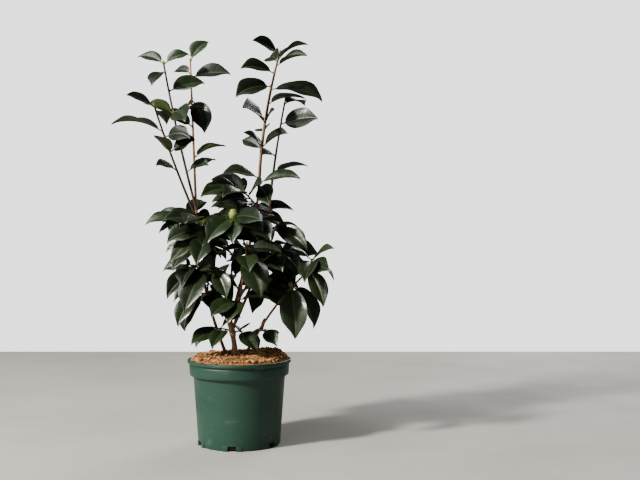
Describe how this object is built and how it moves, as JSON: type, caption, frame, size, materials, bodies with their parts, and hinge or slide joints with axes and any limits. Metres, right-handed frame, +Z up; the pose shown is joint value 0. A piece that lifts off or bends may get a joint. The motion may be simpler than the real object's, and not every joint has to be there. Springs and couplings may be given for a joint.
{
  "type": "potted camellia shrub",
  "caption": "Young evergreen camellia shrub with glossy oval leaves, flower buds and upright shoots, growing in a round tapered plastic nursery pot.",
  "frame": {"origin": "centre of the pot's flat underside", "axes": "+Z up along the pot's axis, +X to the right and -Y towards the viewer of the picture"},
  "size_m": [0.4075, 0.2822, 0.7559],
  "materials": {
    "pot": "satin, lightly scuffed",
    "soil": "matte bark chips",
    "bark": "matte bark",
    "foliage": "glossy leaves"
  },
  "bodies": {
    "root": {"pot": "pot", "soil": "soil", "trunk": "bark", "left_stem": "bark", "right_stem": "bark", "leader": "bark", "red_bough": "bark", "right_bough": "bark", "back_bough": "bark", "front_bough": "bark", "far_left_shoot": "foliage", "left_shoot": "foliage", "inner_left_shoot": "foliage", "middle_shoot": "foliage", "inner_right_shoot": "foliage", "right_shoot": "foliage", "left_top_mass": "foliage", "left_front_mass": "foliage", "left_back_mass": "foliage", "left_middle_mass": "foliage", "left_low_mass": "foliage", "red_top_mass": "foliage", "red_low_mass": "foliage", "centre_left_mass": "foliage", "centre_front_mass": "foliage", "centre_back_mass": "foliage", "right_top_mass": "foliage", "right_front_mass": "foliage", "right_back_mass": "foliage", "right_middle_mass": "foliage", "right_stem_mass": "foliage", "right_low_mass": "foliage", "back_left_mass": "foliage", "back_top_mass": "foliage", "back_low_mass": "foliage", "back_right_mass": "foliage", "front_top_mass": "foliage", "front_low_mass": "foliage", "foot_left_mass": "foliage", "foot_right_mass": "foliage", "foot_side_mass": "foliage"}
  },
  "joints": []
}
